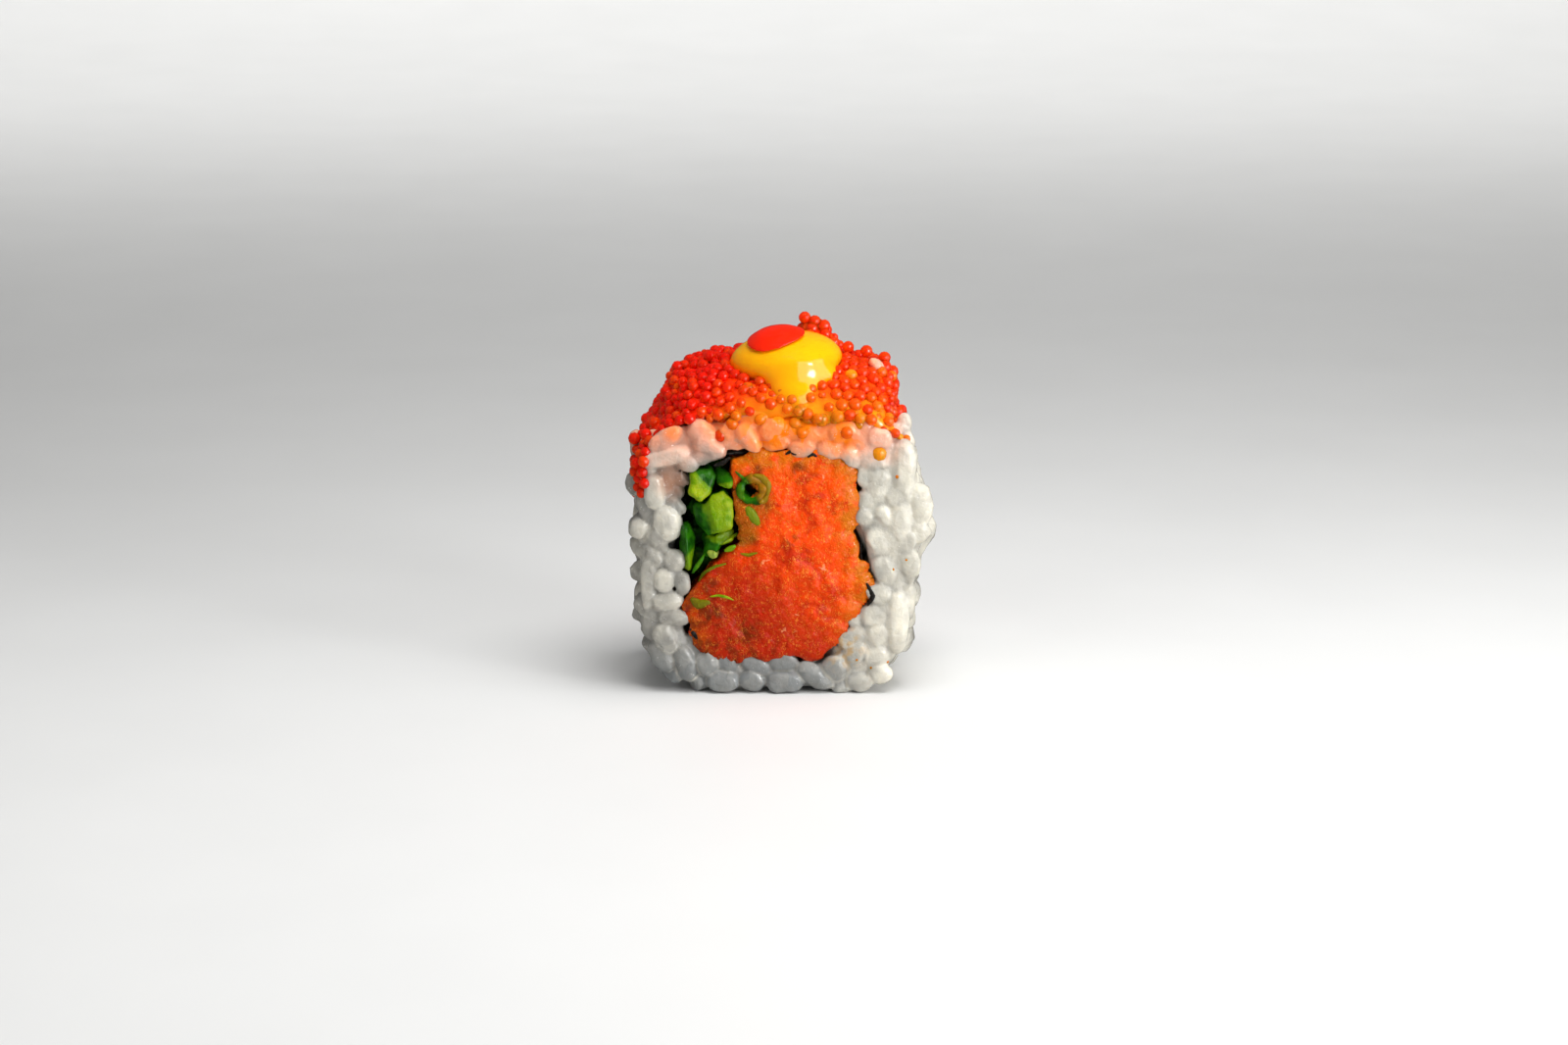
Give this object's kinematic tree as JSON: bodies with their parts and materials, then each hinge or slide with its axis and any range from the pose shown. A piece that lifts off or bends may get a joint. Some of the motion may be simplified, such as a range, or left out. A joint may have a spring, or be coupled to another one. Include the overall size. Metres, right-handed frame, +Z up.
{
  "type": "spicy tuna roll piece",
  "caption": "One cut piece of an inside-out sushi roll: a rice ring round minced spicy tuna and spring onion, topped with fish roe, a sauce dollop and a red drop.",
  "frame": {"origin": "centre of the underside, on the surface that the piece rests on", "axes": "+X to the right across the shown cut face, +Y from the shown cut face to the other one along the roll, +Z up"},
  "size_m": [0.0416, 0.0258, 0.0498],
  "materials": {
    "rice": "moist, slightly translucent cooked grains",
    "nori": "damp dark seaweed sheet",
    "tuna": "wet, granular minced fish",
    "onion": "fresh chopped leaf, smooth skin",
    "roe": "glossy translucent pearls",
    "yellow_sauce": "smooth glossy sauce",
    "red_sauce": "smooth glossy sauce"
  },
  "bodies": {
    "root": {"rice": "rice", "nori": "nori", "spicy_tuna": "tuna", "onion_block": "onion", "onion_wedge": "onion", "onion_chunk": "onion", "onion_side": "onion", "onion_curl": "onion", "onion_tube": "onion", "onion_bundle": "onion", "roe": "roe", "sauce_dollop": "yellow_sauce", "red_drop": "red_sauce"}
  },
  "joints": []
}
